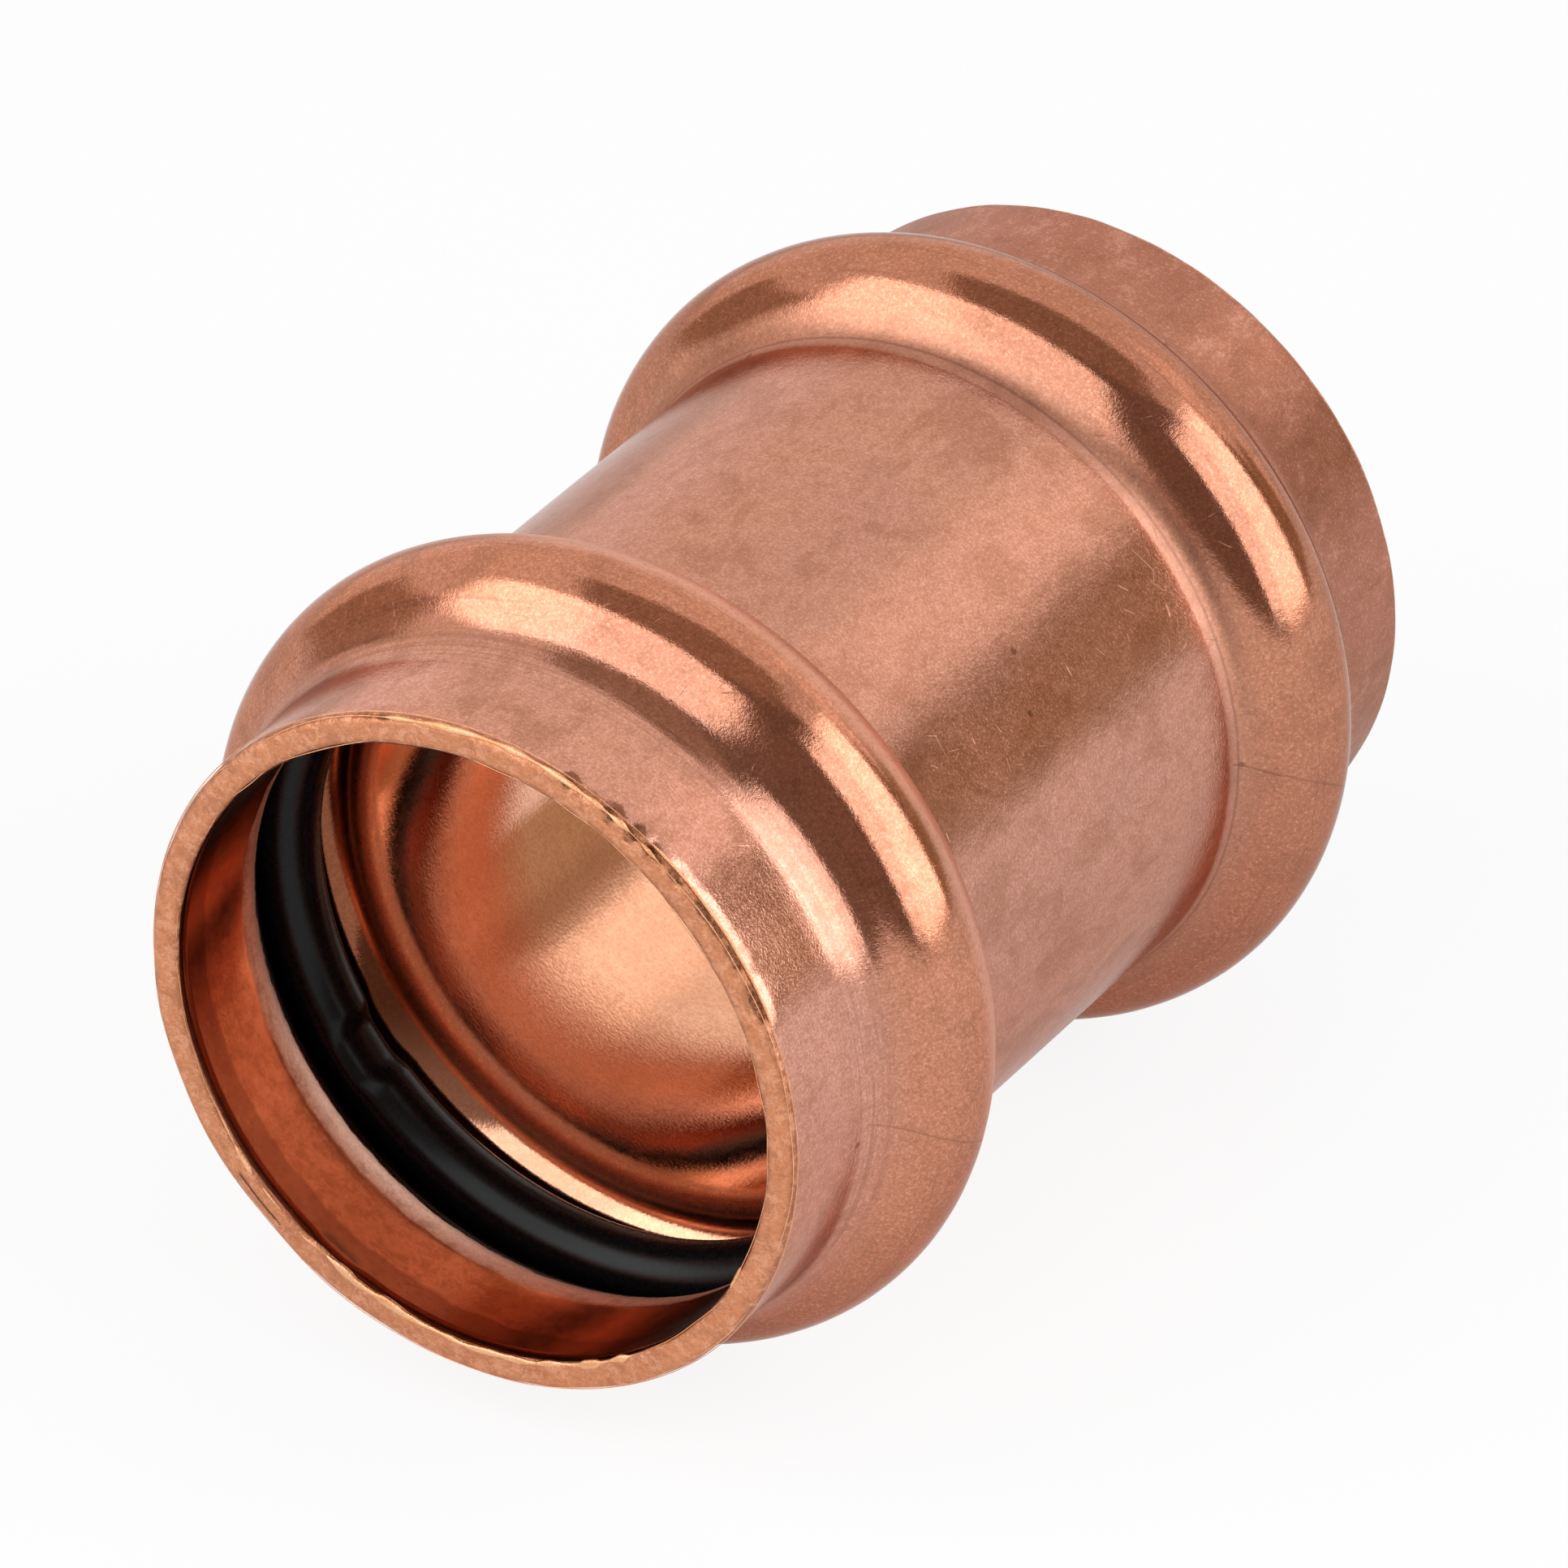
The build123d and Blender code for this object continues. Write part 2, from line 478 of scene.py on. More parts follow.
def tarnish_group():
    """Clouded tarnish: slow blotches broken up by a finer mottle."""
    tree, build, given, result = shader_group(
        "tarnish",
        [("Place", "Vector"), ("Cloud Scale", "Float")],
        [("Cloud", "Float"), ("Mottle", "Float")])
    place = given.outputs["Place"]
    cloud = build.noise(place, given.outputs["Cloud Scale"], 5.0, 0.6, 0.4)
    fine_scale = build.math("MULTIPLY", given.outputs["Cloud Scale"], 9.0)
    mottle = build.noise(place, fine_scale, 6.0, 0.7, 0.2)
    build.put(result.inputs["Cloud"], build.step(cloud, 0.35, 0.68))
    build.put(result.inputs["Mottle"], build.step(mottle, 0.3, 0.7))
    return tree


def scratches_group():
    """Short straight scratches, one in each chosen cell, at a random slant through the cell's middle."""
    tree, build, given, result = shader_group(
        "scratches",
        [("Place", "Vector"), ("Scale", "Float"), ("Width", "Float"), ("Length", "Float"),
         ("Share", "Float")],
        [("Scratch", "Float")])
    place = given.outputs["Place"]
    cells = build.add("ShaderNodeTexVoronoi", {"Vector": place, "Scale": given.outputs["Scale"]})
    away = build.vector("SUBTRACT", place, cells.outputs["Position"])
    centred = build.vector("SUBTRACT", cells.outputs["Color"], (0.5, 0.5, 0.5))
    slant = build.vector("NORMALIZE", centred)
    offset = build.vector_value("DOT_PRODUCT", away, slant)
    half = build.math("MULTIPLY", given.outputs["Width"], 0.5)
    line = build.step(build.math("ABSOLUTE", offset), half, given.outputs["Width"], 1.0, 0.0)
    reach = build.vector_value("LENGTH", away)
    short = build.math("MULTIPLY", given.outputs["Length"], 0.3)
    within = build.step(reach, short, given.outputs["Length"], 1.0, 0.0)
    chance = build.add("ShaderNodeTexWhiteNoise", {"Vector": cells.outputs["Position"]})
    chosen = build.math("LESS_THAN", chance.outputs["Value"], given.outputs["Share"])
    build.put(result.inputs["Scratch"], build.product(line, within, chosen))
    return tree


def drag_mark_group():
    """One long thin mark that a tool dragged slantwise over the surface, from Start to End along Y."""
    tree, build, given, result = shader_group(
        "drag_mark",
        [("Place", "Vector"), ("Angle", "Float"), ("Slope", "Float"), ("Start", "Float"),
         ("End", "Float"), ("Width", "Float")],
        [("Mark", "Float")])
    x, y, z = build.parts(given.outputs["Place"])
    round_angle = build.math("ARCTAN2", z, x)
    along = build.math("SUBTRACT", y, given.outputs["Start"])
    line = build.math("MULTIPLY_ADD", along, given.outputs["Slope"], given.outputs["Angle"])
    off = build.math("ABSOLUTE", build.math("SUBTRACT", round_angle, line))
    half = build.math("MULTIPLY", given.outputs["Width"], 0.4)
    stroke = build.step(off, half, given.outputs["Width"], 1.0, 0.0)
    after = build.math("GREATER_THAN", along, 0.0)
    before = build.math("LESS_THAN", y, given.outputs["End"])
    build.put(result.inputs["Mark"], build.product(stroke, after, before))
    return tree


def forming_lines_group():
    """Lines left round the axis by forming: noise that changes fast along Y and slowly round it."""
    tree, build, given, result = shader_group(
        "forming_lines", [("Place", "Vector"), ("Spacing", "Float")], [("Lines", "Float")])
    x, y, z = build.parts(build.stretch(given.outputs["Place"], (60, 1, 60)))
    along = build.math("MULTIPLY", y, given.outputs["Spacing"])
    joined = build.add("ShaderNodeCombineXYZ", {0: x, 1: along, 2: z})
    build.put(result.inputs["Lines"], build.noise(joined.outputs[0], 1.0, 3.0, 0.6))
    return tree


def specks_group():
    """Small round specks, each in its own cell, of a chosen share of the cells."""
    tree, build, given, result = shader_group(
        "specks", [("Place", "Vector"), ("Scale", "Float"), ("Size", "Float"), ("Share", "Float")],
        [("Speck", "Float")])
    inputs = {"Vector": given.outputs["Place"], "Scale": given.outputs["Scale"]}
    cells = build.add("ShaderNodeTexVoronoi", inputs)
    colour = build.add("ShaderNodeSeparateColor", {0: cells.outputs["Color"]})
    chosen = build.math("LESS_THAN", colour.outputs[0], given.outputs["Share"])
    edge = build.math("MULTIPLY", given.outputs["Size"], 0.5)
    spot = build.step(cells.outputs["Distance"], edge, given.outputs["Size"], 1.0, 0.0)
    build.put(result.inputs["Speck"], build.math("MULTIPLY", spot, chosen))
    return tree


# ---------------------------------------------------------------- materials

tarnish = tarnish_group()
scratches = scratches_group()
forming_lines = forming_lines_group()
specks = specks_group()
drag_mark = drag_mark_group()

# Zones along the axis, in metres from the middle: where a change starts and ends, and for a band
# where its second change starts and ends too
BEAD = (0.01085, 0.01115, 0.0172, 0.0196)
REAR_BEAD_START = (0.0105, 0.0125)
FRONT_COLLAR_END = (-0.0200, -0.0185)
REAR_COLLAR_START = (0.0185, 0.0200)
FRONT_FLANK = (-0.0148, -0.0136, -0.0112, -0.0106)
FILLET = (0.0102, 0.0109, 0.0113, 0.0121)
CREASE = 0.01102
COLLAR_BLEND = (0.0180, 0.0186, 0.0198, 0.0214)
ROLLED_EDGE_END = (0.02505, 0.02522)
BORE_TURNED_IN = (0.0096, 0.0102, 0.0112, 0.0120)
BORE_FAR_FLANK = (0.0110, 0.0114, 0.0132, 0.0136)
BORE_FLANK_START = (0.0176, 0.0179)
BORE_FROSTED_HIGHLIT_LIP = (0.0188, 0.0191, 0.0202, 0.0206)
BORE_SEAT_START = (0.0190, 0.0203)
BORE_STAIN_START = (0.02325, 0.02350)

# Places up Z and out from the axis, in metres
UNDERSIDE = (-0.015, 0.002)
UNLIT_START = (-0.0125, -0.0085)
RIM_OUTER_EDGE = (0.01556, 0.01570)
RIM_INNER_EDGE = (0.01456, 0.01470)


def new_material(name):
    """A material's node builder, its shader and the place on the object in metres."""
    material = bpy.data.materials.new(name)
    material.use_nodes = True
    build = Nodes(material.node_tree)
    shader = build.add("ShaderNodeBsdfPrincipled")
    build.add("ShaderNodeOutputMaterial", {"Surface": shader.outputs[0]})
    place = build.add("ShaderNodeTexCoord").outputs["Object"]
    return material, build, shader, place


def grouped(build, group, **inputs):
    """The outputs of a node group, for inputs named as its sockets are, with _ for a space."""
    node = build.add("ShaderNodeGroup", node_tree=group)
    for name, value in inputs.items():
        build.put(node.inputs[name.replace("_", " ")], value)
    return node.outputs


def finish_metal(build, shader, colour, roughness):
    """Gives a bare metal its colour and its roughness."""
    build.put(shader.inputs["Base Color"], colour)
    build.put(shader.inputs["Metallic"], 1.0)
    build.put(shader.inputs["Roughness"], roughness)


def bump(build, shader, height, distance, strength):
    """Raises the shader's normal by a height times a distance in metres."""
    inputs = {"Height": height, "Distance": distance, "Strength": strength}
    build.put(shader.inputs["Normal"], build.add("ShaderNodeBump", inputs).outputs[0])


def film_colour(build, cloud, on_bead, y, z):
    """The film's colour: pink on the body, fresher in front, duller behind, brown on the beads, with
    painted light below: the body's lower side is lighter as a painted reflection of the floor, and
    the beads' lower side darker as painted shade.

    It comes with the shares from 0 to 1 of the front collar and the rear one.
    """
    front_collar = build.step(y, *FRONT_COLLAR_END, 1.0, 0.0)
    rear_collar = build.step(y, *REAR_COLLAR_START)
    rear_bead = build.step(y, *REAR_BEAD_START)
    underside = build.step(z, *UNDERSIDE, 1.0, 0.0)
    pink = build.mix(cloud, (0.665, 0.325, 0.236), (0.615, 0.308, 0.236))
    fresh = build.mix(cloud, (0.760, 0.366, 0.268), (0.700, 0.342, 0.260))
    stale = build.mix(cloud, (0.520, 0.215, 0.156), (0.480, 0.204, 0.156))
    brown = build.mix(cloud, (0.670, 0.268, 0.163), (0.610, 0.245, 0.158))
    # Painted reflection: the body is lighter towards its lower side, standing in for the bright floor it
    # mirrors
    pink = build.mix(build.product(underside, 0.9), pink, (0.830, 0.405, 0.305))
    colour = build.mix(rear_collar, build.mix(front_collar, pink, fresh), stale)
    colour = build.mix(on_bead, colour, brown)
    colour = build.mix(build.product(rear_bead, 0.30), colour, (0.36, 0.145, 0.085))
    # Painted shade: the lower side of each bead is darkened, standing in for the shadowed floor it mirrors
    shaded_bead_underside = build.product(underside, on_bead, 0.50)
    colour = build.mix(shaded_bead_underside, colour, (0.34, 0.105, 0.062))
    return colour, front_collar, rear_collar


def drag_marks(build, place):
    """The slanting line that a tool left over each bead."""
    front = grouped(
        build, drag_mark, Place=place, Angle=-0.07, Slope=-28.0, Start=-0.0194, End=-0.0125, Width=0.0045)
    rear = grouped(
        build, drag_mark, Place=place, Angle=0.02, Slope=-30.0, Start=0.0107, End=0.0180, Width=0.0045)
    return build.math("MAXIMUM", front["Mark"], rear["Mark"])


def scuffs(build, place):
    """Short and long scratches, in patches."""
    short = grouped(
        build, scratches, Place=place, Scale=1500.0, Width=0.000014, Length=0.0004, Share=0.30)
    long = grouped(
        build, scratches, Place=place, Scale=420.0, Width=0.000016, Length=0.0011, Share=0.10)
    patches = build.step(build.noise(place, 260.0, 2.0), 0.48, 0.60)
    return build.product(build.math("MAXIMUM", short["Scratch"], long["Scratch"]), patches)


def tarnished_copper():
    """The outside: drawn copper under a thin pinkish film of oxide, worn browner on the formed beads.

    The film has slow clouds, a brown mottle and a fine grain. Short scratches scatter the light, a thin
    dark line runs along the crease where the body meets each bead, and a tool dragged over both beads.
    """
    material, build, shader, place = new_material("tarnished_copper")
    parts = build.parts(place)
    y, z = parts[1], parts[2]
    along = build.math("ABSOLUTE", y)
    film = grouped(build, tarnish, Place=place, Cloud_Scale=170.0)
    drawn_out = build.stretch(place, (1.0, 0.55, 1.0))
    smudge = grouped(build, tarnish, Place=drawn_out, Cloud_Scale=430.0)["Cloud"]
    mottle = build.noise(drawn_out, 2300.0, 5.0, 0.75)
    handled = build.noise(drawn_out, 620.0, 5.0, 0.75)
    speckle = build.noise(place, 5200.0, 3.0, 0.75)
    grain = build.noise(place, 8000.0, 2.0, 0.8)
    lines = grouped(build, forming_lines, Place=place, Spacing=4200.0)["Lines"]
    dots = grouped(build, specks, Place=place, Scale=700.0, Size=0.16, Share=0.05)["Speck"]
    scuff = scuffs(build, place)
    drag = drag_marks(build, place)

    # Where on the part, as shares from 0 to 1
    on_bead = build.band(along, *BEAD)
    front_flank = build.band(y, *FRONT_FLANK)
    fillet = build.band(along, *FILLET)
    blend_zone = build.band(along, *COLLAR_BLEND)
    from_crease = build.math("ABSOLUTE", build.math("SUBTRACT", along, CREASE))
    colour, front_collar, rear_collar = film_colour(build, film["Cloud"], on_bead, y, z)

    # The film's unevenness
    colour = build.mix(build.step(mottle, 0.40, 0.66, 0.0, 0.42), colour, (0.44, 0.180, 0.105))
    colour = build.mix(build.step(smudge, 0.45, 1.0, 0.0, 0.42), colour, (0.36, 0.145, 0.084))
    dulled = build.product(build.step(handled, 0.50, 0.64, 0.0, 0.55), rear_collar)
    colour = build.mix(dulled, colour, (0.30, 0.125, 0.080))
    rosy = build.product(build.step(handled, 0.48, 0.36, 0.0, 0.55), rear_collar)
    colour = build.mix(rosy, colour, (0.70, 0.360, 0.275))
    colour = build.mix(build.step(grain, 0.38, 0.66, 0.0, 0.44), colour, (0.36, 0.150, 0.085))
    colour = build.mix(build.step(grain, 0.46, 0.32, 0.0, 0.28), colour, (0.87, 0.54, 0.41))

    # What forming and handling left
    drawn = build.product(build.step(lines, 0.58, 0.70), on_bead, 0.4)
    colour = build.mix(drawn, colour, (0.30, 0.115, 0.07))
    # Partly real and partly painted light: the body side of the front bead has a rough film, and its paler
    # colour is a painted highlight
    colour = build.mix(build.product(front_flank, 0.80), colour, (0.840, 0.440, 0.320))
    worn = build.product(build.step(lines, 0.46, 0.62), blend_zone, 0.42)
    colour = build.mix(worn, colour, (0.36, 0.160, 0.105))
    colour = build.mix(build.product(fillet, 0.45), colour, (0.50, 0.255, 0.175))
    colour = build.mix(build.step(from_crease, 0.00002, 0.00010, 0.50, 0.0), colour, (0.24, 0.11, 0.09))
    colour = build.mix(build.product(dots, 0.6), colour, (0.16, 0.06, 0.04))
    rubbed = build.product(build.step(speckle, 0.54, 0.64, 0.0, 0.34), on_bead)
    colour = build.mix(rubbed, colour, (0.26, 0.105, 0.060))
    bright = build.product(build.step(speckle, 0.43, 0.36, 0.0, 0.22), on_bead)
    colour = build.mix(bright, colour, (0.90, 0.540, 0.360))
    colour = build.mix(build.product(drag, 0.5), colour, (0.30, 0.13, 0.085))
    shader.inputs["Specular Tint"].default_value = (0.84, 0.71, 0.66, 1)

    roughness = build.math("MULTIPLY_ADD", film["Mottle"], 0.05, 0.13)
    roughness = build.add_share(roughness, on_bead, -0.06)
    roughness = build.add_share(roughness, rear_collar, 0.14)
    roughness = build.add_share(roughness, front_flank, 0.28)
    roughness = build.add_share(roughness, front_collar, -0.04)
    roughness = build.add_share(roughness, fillet, 0.34)
    roughness = build.add_share(roughness, scuff, 0.35)
    finish_metal(build, shader, colour, roughness)

    # Heights in thousandths of a millimetre
    smoother = build.math("MAXIMUM", on_bead, front_collar)
    height = build.product(build.noise(place, 2600.0, 2.0, 0.6), build.add_share(7.0, smoother, -3.0))
    height = build.add_share(height, grain, build.add_share(8.5, on_bead, -3.0))
    height = build.add_share(height, lines, 2.0)
    height = build.add_share(height, scuff, -5.0)
    height = build.add_share(height, drag, -12.0)
    bump(build, shader, height, 0.000001, 1.0)
    return material


def cut_copper():
    """The rims: fresh peach metal where the tube was cut, browner on the rolled edge, dark in gouges."""
    material, build, shader, place = new_material("cut_copper")
    along = build.math("ABSOLUTE", build.parts(place)[1])
    radial = build.vector_value("LENGTH", build.vector("MULTIPLY", place, (1, 0, 1)))
    film = grouped(build, tarnish, Place=place, Cloud_Scale=500.0)
    blotch = build.noise(place, 1500.0, 4.0, 0.7)
    chewed = build.math("SUBTRACT", build.noise(place, 1900.0, 5.0, 0.75), 0.5)
    ragged = build.math("MULTIPLY_ADD", chewed, 0.0010, radial)

    grime = build.add("ShaderNodeAttribute", attribute_name="grime").outputs["Fac"]
    gouged = build.product(build.step(grime, 0.15, 0.50), build.step(film["Mottle"], 0.3, 0.8, 1.0, 0.35))
    rolled = build.step(build.math("MULTIPLY_ADD", blotch, 0.0002, along), *ROLLED_EDGE_END, 1.0, 0.0)
    outer_edge = build.step(ragged, *RIM_OUTER_EDGE)
    inner_edge = build.step(ragged, *RIM_INNER_EDGE, 1.0, 0.0)

    colour = build.mix(film["Mottle"], (0.75, 0.305, 0.150), (0.58, 0.225, 0.112))
    colour = build.mix(build.product(rolled, 0.65), colour, (0.42, 0.170, 0.095))
    colour = build.mix(build.step(blotch, 0.48, 0.62, 0.0, 0.60), colour, (0.46, 0.180, 0.095))
    colour = build.mix(build.product(outer_edge, 0.50), colour, (0.38, 0.150, 0.080))
    colour = build.mix(build.product(inner_edge, 0.45), colour, (0.42, 0.165, 0.085))
    colour = build.mix(build.step(chewed, 0.0, -0.10, 0.0, 0.55), colour, (0.86, 0.410, 0.250))
    colour = build.mix(build.product(gouged, 0.9), colour, (0.11, 0.045, 0.020))
    finish_metal(build, shader, colour, build.math("MULTIPLY_ADD", film["Cloud"], 0.12, 0.28))
    rough = build.add_share(build.noise(place, 4500.0, 4.0, 0.7), chewed, 1.6)
    bump(build, shader, rough, 0.00006, 0.8)
    return material


def burr_copper():
    """The burrs: torn, bare and bright, with a yellower sheen than the film beside them."""
    material, build, shader, place = new_material("burr_copper")
    film = grouped(build, tarnish, Place=place, Cloud_Scale=900.0)
    colour = build.mix(film["Cloud"], (0.96, 0.52, 0.29), (0.82, 0.38, 0.18))
    finish_metal(build, shader, colour, build.math("MULTIPLY_ADD", film["Mottle"], 0.15, 0.22))
    bump(build, shader, build.noise(place, 5500.0, 4.0, 0.7), 0.00008, 0.7)
    return material


def bore_copper():
    """The inside: clean drawn copper, brown and dull for 2 mm inside each rim, mottled at the seat,
    with painted shade on the walls of each groove and a painted highlight on the rough lip before each
    ring.
    """
    material, build, shader, place = new_material("bore_copper")
    parts = build.parts(place)
    y, z = parts[1], parts[2]
    along = build.math("ABSOLUTE", y)
    film = grouped(build, tarnish, Place=place, Cloud_Scale=260.0)
    drawn = build.noise(build.stretch(place, (2400, 90, 2400)), 1.0, 3.0, 0.6)
    grain = build.noise(place, 6500.0, 3.0, 0.7)
    waver = build.math("MULTIPLY_ADD", build.noise(place, 700.0, 3.0, 0.6), 0.0006, along)

    stained = build.step(waver, *BORE_STAIN_START)
    seat = build.step(waver, *BORE_SEAT_START)
    frosted_highlit_lip = build.band(waver, *BORE_FROSTED_HIGHLIT_LIP)
    before_highlit_lip = build.step(waver, BORE_FROSTED_HIGHLIT_LIP[0], BORE_FROSTED_HIGHLIT_LIP[1], 1.0, 0.0)
    shaded_flank = build.product(build.step(along, *BORE_FLANK_START), before_highlit_lip)
    far_flank = build.band(along, *BORE_FAR_FLANK)
    turned_in = build.band(along, *BORE_TURNED_IN)
    unlit = build.product(far_flank, build.step(z, *UNLIT_START), 0.9)
    spotted = build.product(build.step(build.noise(place, 1300.0, 4.0, 0.7), 0.45, 0.62), seat)

    colour = build.mix(film["Cloud"], (0.96, 0.52, 0.35), (0.90, 0.47, 0.30))
    colour = build.mix(build.product(film["Mottle"], 0.25), colour, (0.60, 0.24, 0.13))
    colour = build.mix(build.product(seat, 0.70), colour, (0.56, 0.190, 0.095))
    # Painted shade: the far wall of each groove, beyond the ring, is darkened, and its upper, unlit part is
    # nearly black
    colour = build.mix(build.product(far_flank, 0.35), colour, (0.48, 0.170, 0.085))
    colour = build.mix(unlit, colour, (0.15, 0.035, 0.012))
    # Painted shade on the groove wall between the lip and the ring
    colour = build.mix(build.product(shaded_flank, 0.75), colour, (0.42, 0.10, 0.035))
    # Partly real and partly painted light: the lip before each ring is rough, and its pale colour is a
    # painted highlight
    colour = build.mix(build.product(frosted_highlit_lip, 0.85), colour, (0.93, 0.60, 0.49))
    colour = build.mix(build.product(spotted, 0.40), colour, (0.36, 0.12, 0.06))
    colour = build.mix(build.product(stained, 0.60), colour, (0.26, 0.09, 0.05))
    colour = build.mix(build.step(grain, 0.38, 0.66, 0.0, 0.28), colour, (0.42, 0.15, 0.07))

    roughness = build.math("MULTIPLY_ADD", film["Mottle"], 0.06, 0.06)
    roughness = build.add_share(roughness, seat, 0.08)
    roughness = build.add_share(roughness, frosted_highlit_lip, 0.28)
    roughness = build.add_share(roughness, turned_in, 0.20)
    finish_metal(build, shader, colour, roughness)
    bump(build, shader, build.add_share(drawn, grain, 1.4), 0.0000025, 1.0)
    return material


def seal_rubber():
    """Black rubber with a satin, lubricated skin."""
    material, build, shader, place = new_material("seal_rubber")
    skin = grouped(build, tarnish, Place=place, Cloud_Scale=400.0)
    colour = build.mix(skin["Mottle"], (0.0022, 0.0022, 0.0025), (0.0045, 0.0045, 0.005))
    build.put(shader.inputs["Base Color"], colour)
    build.put(shader.inputs["Roughness"], build.math("MULTIPLY_ADD", skin["Mottle"], 0.06, 0.24))
    shader.inputs["Specular IOR Level"].default_value = 0.23
    bump(build, shader, skin["Mottle"], 0.00001, 0.1)
    return material


# ---------------------------------------------------------------- the studio

LENS = 312.7                    # millimetres, on a sensor 36 mm wide
CAMERA_BEARING = 31.57          # degrees
CAMERA_RISE = 31.74
CAMERA_DISTANCE = 578.7 * MM
CAMERA_AIM = Vector((-0.109, -0.086, -0.026)) * MM
FLOOR_CLEARANCE = 0.02 * MM     # the floor lies this far under the beads
DAYLIGHT = (0.93, 1.0, 1.03)


def flat_sheet(name, width, height):
    """A rectangle about its own centre, in metres, facing both ways along its own Z."""
    x, y = width / 2, height / 2
    mesh = bpy.data.meshes.new(name)
    mesh.from_pydata([(-x, -y, 0), (x, -y, 0), (x, y, 0), (-x, y, 0)], [], [(0, 1, 2, 3)])
    sheet = bpy.data.objects.new(name, mesh)
    bpy.context.scene.collection.objects.link(sheet)
    return sheet


def studio_floor():
    """A matt white floor, shown a little brighter than it is lit, so that its shadow stays soft."""
    floor = flat_sheet("floor", 6.0, 6.0)
    floor.location.z = -bead_radius * MM - FLOOR_CLEARANCE
    material = bpy.data.materials.new("studio_floor")
    material.use_nodes = True
    build = Nodes(material.node_tree)
    ray = build.add("ShaderNodeLightPath")
    seen = build.math("MAXIMUM", ray.outputs["Is Camera Ray"], ray.outputs["Is Transmission Ray"])
    mirrored = build.math("MULTIPLY", ray.outputs["Is Glossy Ray"], 0.30)
    matt = build.add("ShaderNodeBsdfDiffuse", {"Color": (0.95, 0.93, 0.925, 1)})
    white = build.add("ShaderNodeEmission", {"Color": (1, 1, 1, 1), "Strength": 1.0})
    share = build.math("MULTIPLY_ADD", seen, 0.87, mirrored)
    shown = build.add("ShaderNodeMixShader", {0: share, 1: matt.outputs[0], 2: white.outputs[0]})
    build.add("ShaderNodeOutputMaterial", {"Surface": shown.outputs[0]})
    floor.data.materials.append(material)


def direction(bearing, rise):
    """Unit vector at a bearing from -Y towards +X, and a rise from level, in degrees."""
    bearing, rise = radians(bearing), radians(rise)
    return Vector((sin(bearing) * cos(rise), -cos(bearing) * cos(rise), sin(rise)))


def facing_origin(obj, away):
    """Turns an object's Z towards away, so that a camera there looks back at the origin."""
    obj.rotation_euler = away.to_track_quat("Z", "Y").to_euler()


def softbox(name, place, tilt, turn, width, height, radiance, colour):
    """A rectangular lamp, tilted up from face down and turned round Z, in degrees."""
    lamp = bpy.data.lights.new(name, "AREA")
    lamp.shape = "RECTANGLE"
    lamp.size, lamp.size_y = width, height
    lamp.energy = radiance * pi * width * height
    lamp.color = colour
    holder = bpy.data.objects.new(name, lamp)
    holder.location = place
    holder.rotation_euler = (radians(tilt), 0, radians(turn))
    holder.visible_camera = False
    bpy.context.scene.collection.objects.link(holder)


def card(name, bearing, rise, distance, width, height, colour):
    """A card that only reflections see: an unlit part of the room round the table, or a pale wall."""
    card = flat_sheet(name, width, height)
    away = direction(bearing, rise)
    card.location = away * distance
    facing_origin(card, away)
    material = bpy.data.materials.new(name)
    material.use_nodes = True
    build = Nodes(material.node_tree)
    glow = build.add("ShaderNodeEmission", {"Color": (*colour, 1)})
    build.add("ShaderNodeOutputMaterial", {"Surface": glow.outputs[0]})
    card.data.materials.append(material)
    card.visible_camera = False
    card.visible_diffuse = False
    card.visible_shadow = False
    card.visible_transmission = False


def studio_world():
    """White to the camera, a warm white room in reflections, and a plain level of light."""
    world = bpy.data.worlds.new("studio")
    bpy.context.scene.world = world
    world.use_nodes = True
    build = Nodes(world.node_tree)
    ray = build.add("ShaderNodeLightPath")
    seen = build.math("MAXIMUM", ray.outputs["Is Camera Ray"], ray.outputs["Is Glossy Ray"])
    seen = build.math("MAXIMUM", seen, ray.outputs["Is Transmission Ray"])
    strength = build.math("MULTIPLY_ADD", seen, 0.5, 0.5)
    tone = build.mix(ray.outputs["Is Glossy Ray"], (1, 1, 1), (1.0, 0.94, 0.88))
    sky = build.add("ShaderNodeBackground", {"Color": tone, "Strength": strength})
    build.add("ShaderNodeOutputWorld", {"Surface": sky.outputs[0]})


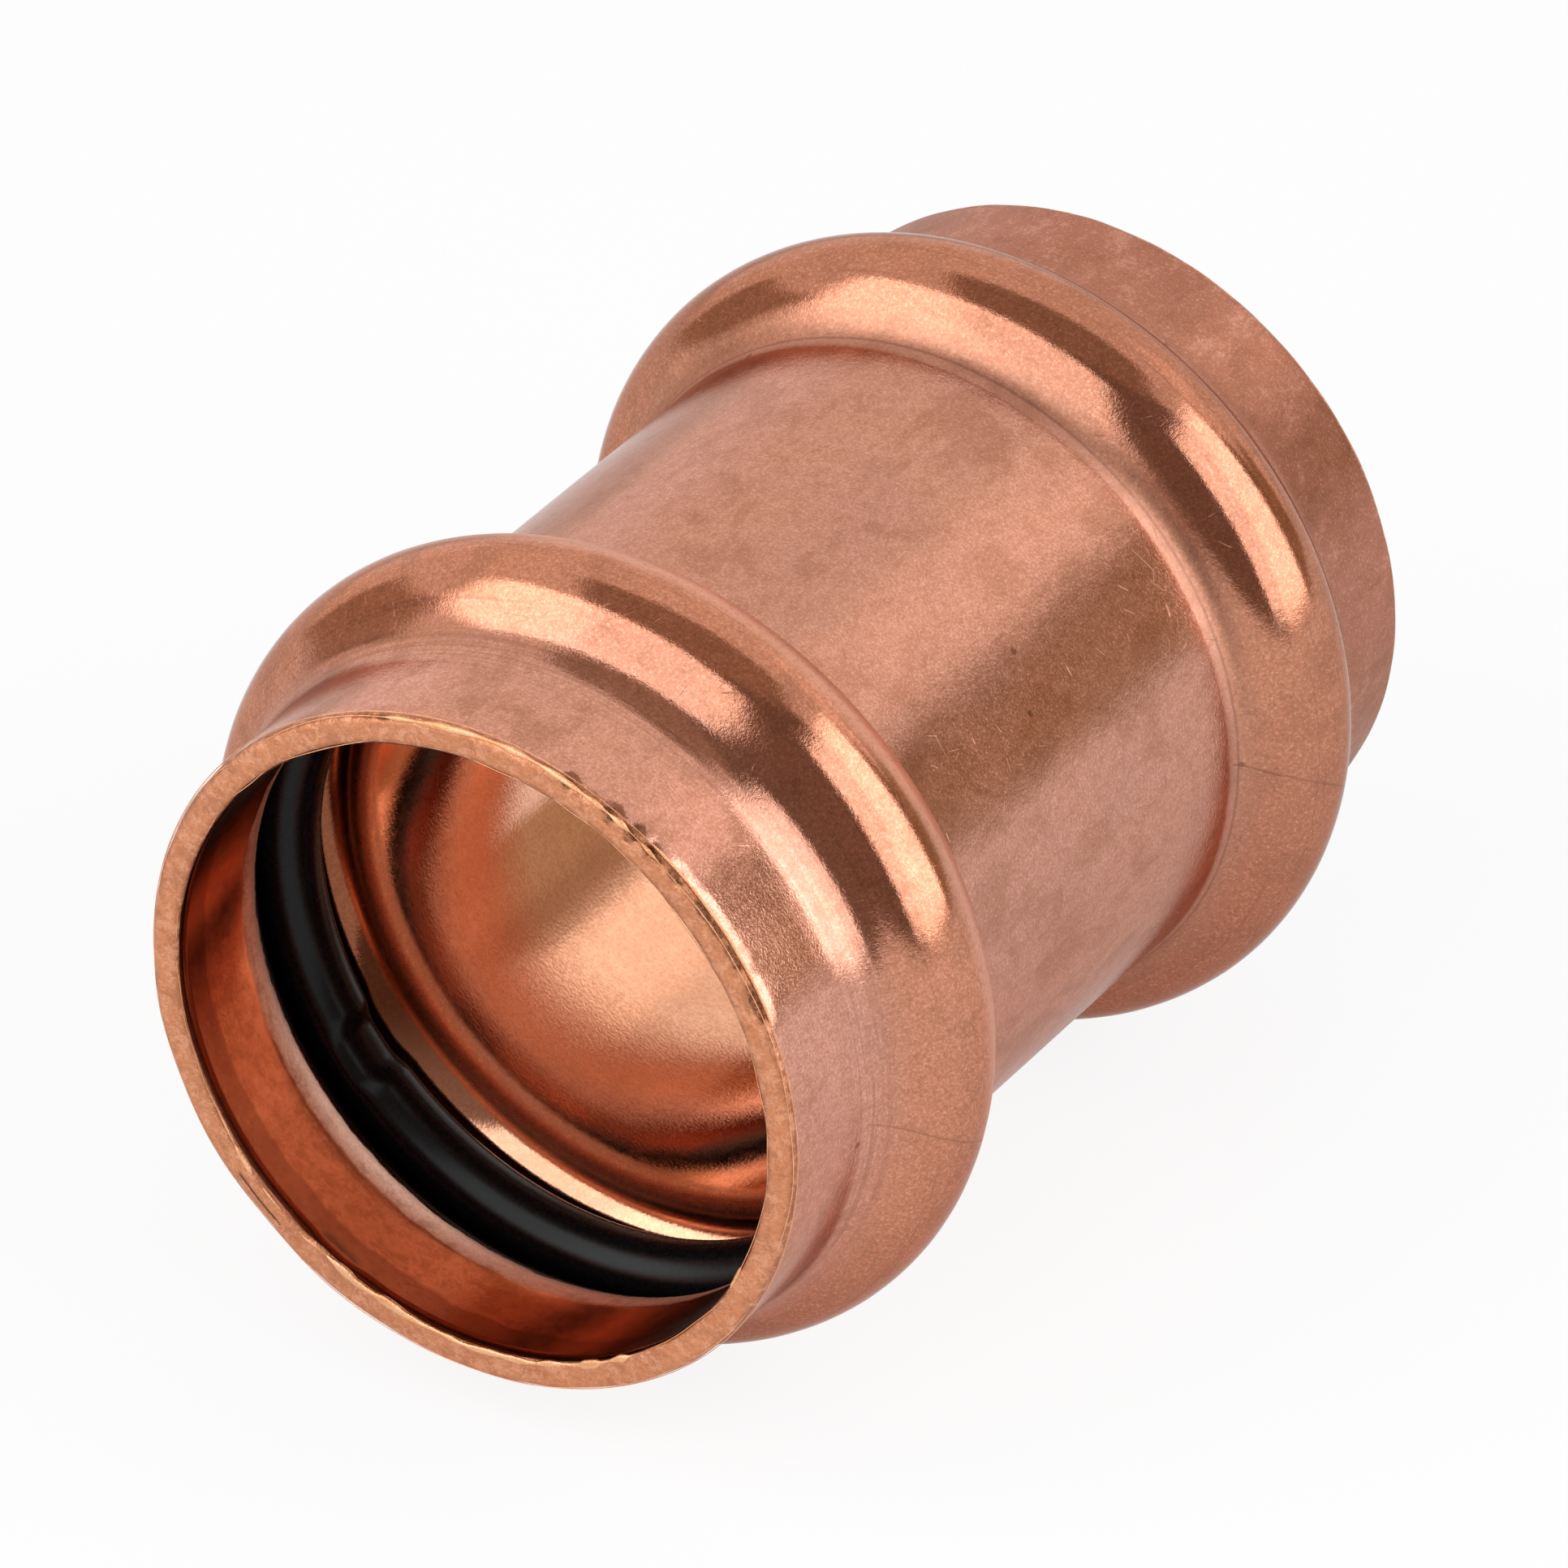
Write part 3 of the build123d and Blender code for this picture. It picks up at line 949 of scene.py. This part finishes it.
def studio_camera():
    """The camera looks down at the coupling from in front and to the right, through a long lens."""
    lens = bpy.data.cameras.new("camera")
    lens.lens = LENS
    lens.sensor_width = 36.0
    camera = bpy.data.objects.new("camera", lens)
    away = direction(CAMERA_BEARING, CAMERA_RISE)
    camera.location = CAMERA_AIM + away * CAMERA_DISTANCE
    facing_origin(camera, away)
    bpy.context.scene.collection.objects.link(camera)
    bpy.context.scene.camera = camera


# ---------------------------------------------------------------- putting it together

wall = coupling_wall()
for material in (tarnished_copper(), cut_copper(), bore_copper()):
    wall.data.materials.append(material)
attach(wall, "root")
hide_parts("coupling_body")

bare = burr_copper()
for burr in (front_inner_burr(), front_outer_burr(), front_edge_burr(), rear_inner_burr()):
    burr.data.materials.append(bare)
    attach(burr, "root")

rubber = seal_rubber()
rings = [
    seal_ring("front_ring", ring_y, front_ring_turn),
    seal_ring("rear_ring", -ring_y, rear_ring_turn),
]
for ring, node in zip(rings, ("front_seal_ring", "rear_seal_ring")):
    ring.data.materials.append(rubber)
    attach(ring, "root")
    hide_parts(node)

studio_floor()
studio_world()
studio_camera()
softbox("left_softbox", (-0.238, -0.463, 0.298), 39.7, -14.1, 0.695, 0.655, 1.75, DAYLIGHT)
softbox("right_softbox", (0.513, 0.074, 0.302), 69.6, 94.5, 0.73, 0.565, 2.0, DAYLIGHT)
card("room_ahead", 34, 28, 1.5, 3.4, 3.0, (0.270, 0.212, 0.180))
card("room_left", -77, 10, 1.5, 1.1, 0.7, (0.50, 0.40, 0.32))
card("room_right", 142, 10, 1.5, 0.80, 0.57, (0.47, 0.370, 0.255))
card("room_gap", 137, 22, 1.5, 0.30, 0.55, (0.38, 0.285, 0.195))
card("pale_wall", -140, 10, 1.5, 1.3, 0.52, (1.10, 1.10, 1.12))
card("lit_wall", 157, 35, 1.5, 0.62, 0.45, (1.30, 1.20, 1.10))
card("ceiling", 10, 81, 1.8, 1.8, 1.8, (0.42, 0.33, 0.26))

bpy.context.scene.view_settings.view_transform = "Standard"
